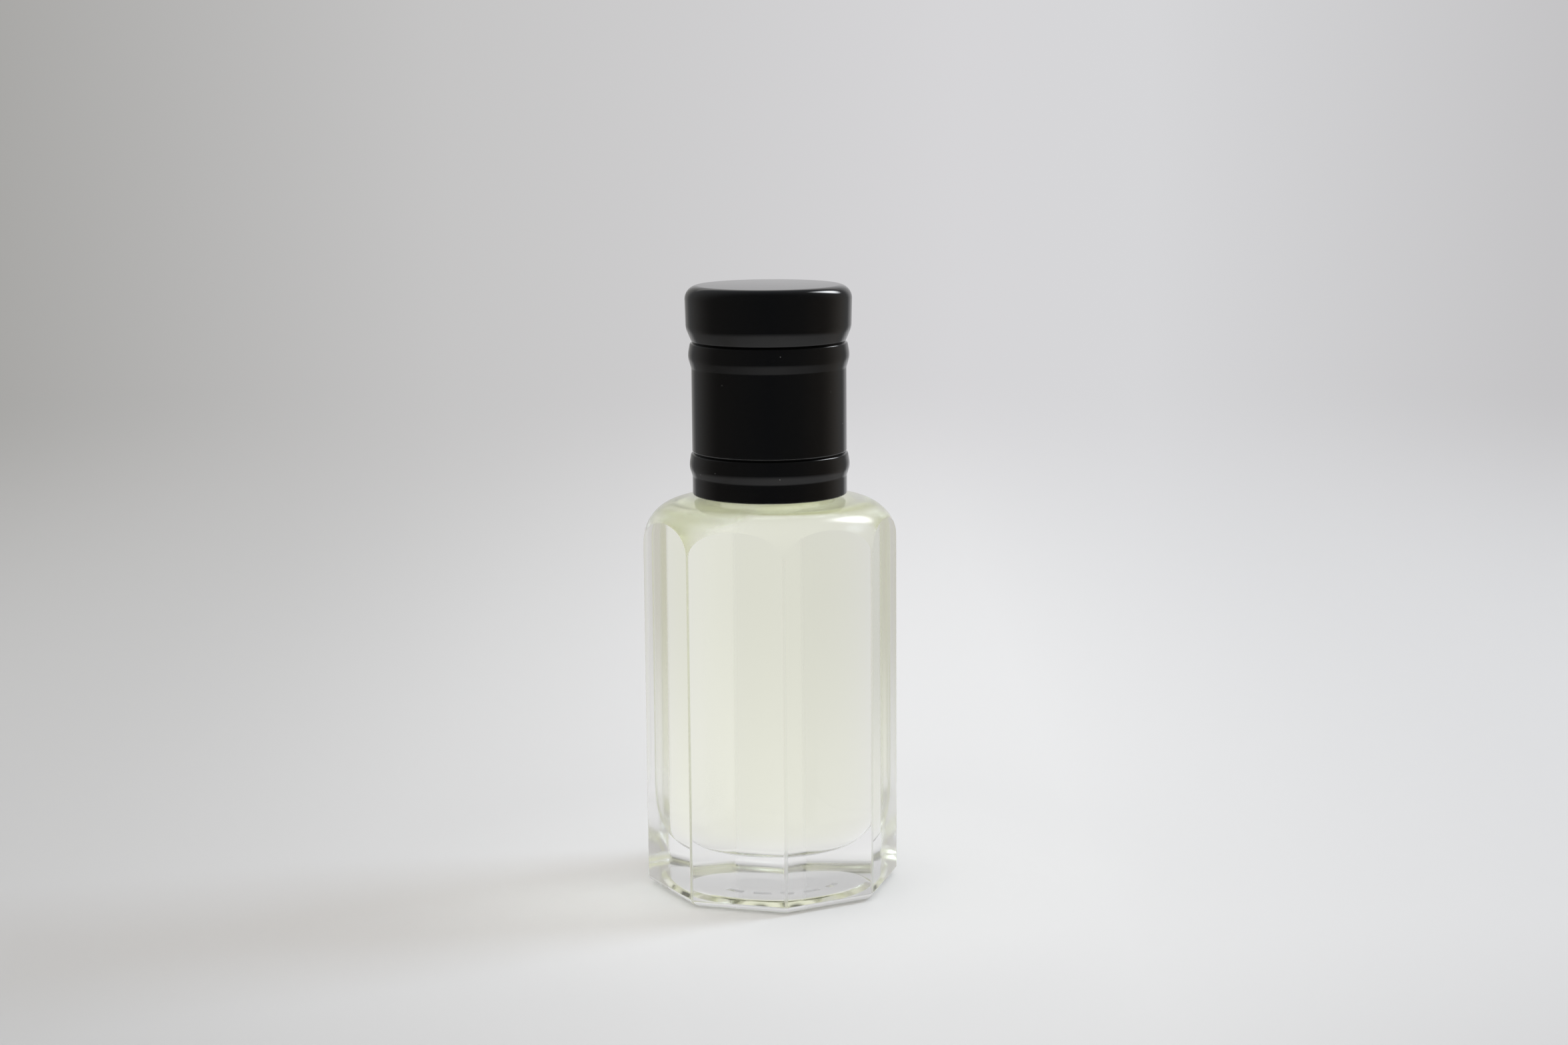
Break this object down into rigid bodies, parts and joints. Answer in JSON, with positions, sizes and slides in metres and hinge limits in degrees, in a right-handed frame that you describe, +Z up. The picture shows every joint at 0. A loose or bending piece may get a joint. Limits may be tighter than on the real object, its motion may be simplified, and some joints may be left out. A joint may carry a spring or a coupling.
{
  "type": "aftershave bottle",
  "caption": "Eight-sided thick glass bottle of pale aftershave with a roll-on mouth and a tall beaded black screw cap that unscrews and lifts off.",
  "frame": {"origin": "centre of the base, on the surface that the bottle stands on", "axes": "+Z up the bottle towards the cap; X and Y square to flats of the glass"},
  "size_m": [0.0244, 0.0244, 0.063],
  "materials": {
    "clear_glass": "fire polished",
    "aftershave_liquid": "clear liquid",
    "natural_plastic": "translucent moulded",
    "polished_steel": "polished",
    "white_foam": "soft matte",
    "black_liner": "moulded satin",
    "gloss_black": "high gloss"
  },
  "bodies": {
    "bottle": {"glass_bottle": "clear_glass", "aftershave_fill": "aftershave_liquid", "roller_housing": "natural_plastic"},
    "ball": {"roller_ball": "polished_steel"},
    "seal": {"seal_disc": "white_foam"},
    "cap": {"cap_shell": "gloss_black", "cap_insert": "black_liner"}
  },
  "joints": [
    {"name": "cap_lift", "type": "slide", "parent": "bottle", "child": "seal", "axis": [0, 0, 1], "range_m": [0, 0.0168]},
    {"name": "cap_turn", "type": "hinge", "parent": "seal", "child": "cap", "pos_m": [0, 0, 0.0523], "axis": [0, 0, 1], "range_deg": [0, 2880]},
    {"name": "ball_roll", "type": "hinge", "parent": "bottle", "child": "ball", "pos_m": [0, 0, 0.052], "axis": [1, 0, 0], "continuous": true}
  ],
  "couplings": [
    {"joint": "cap_turn", "follows": "cap_lift", "rad_per_m": 2992}
  ]
}
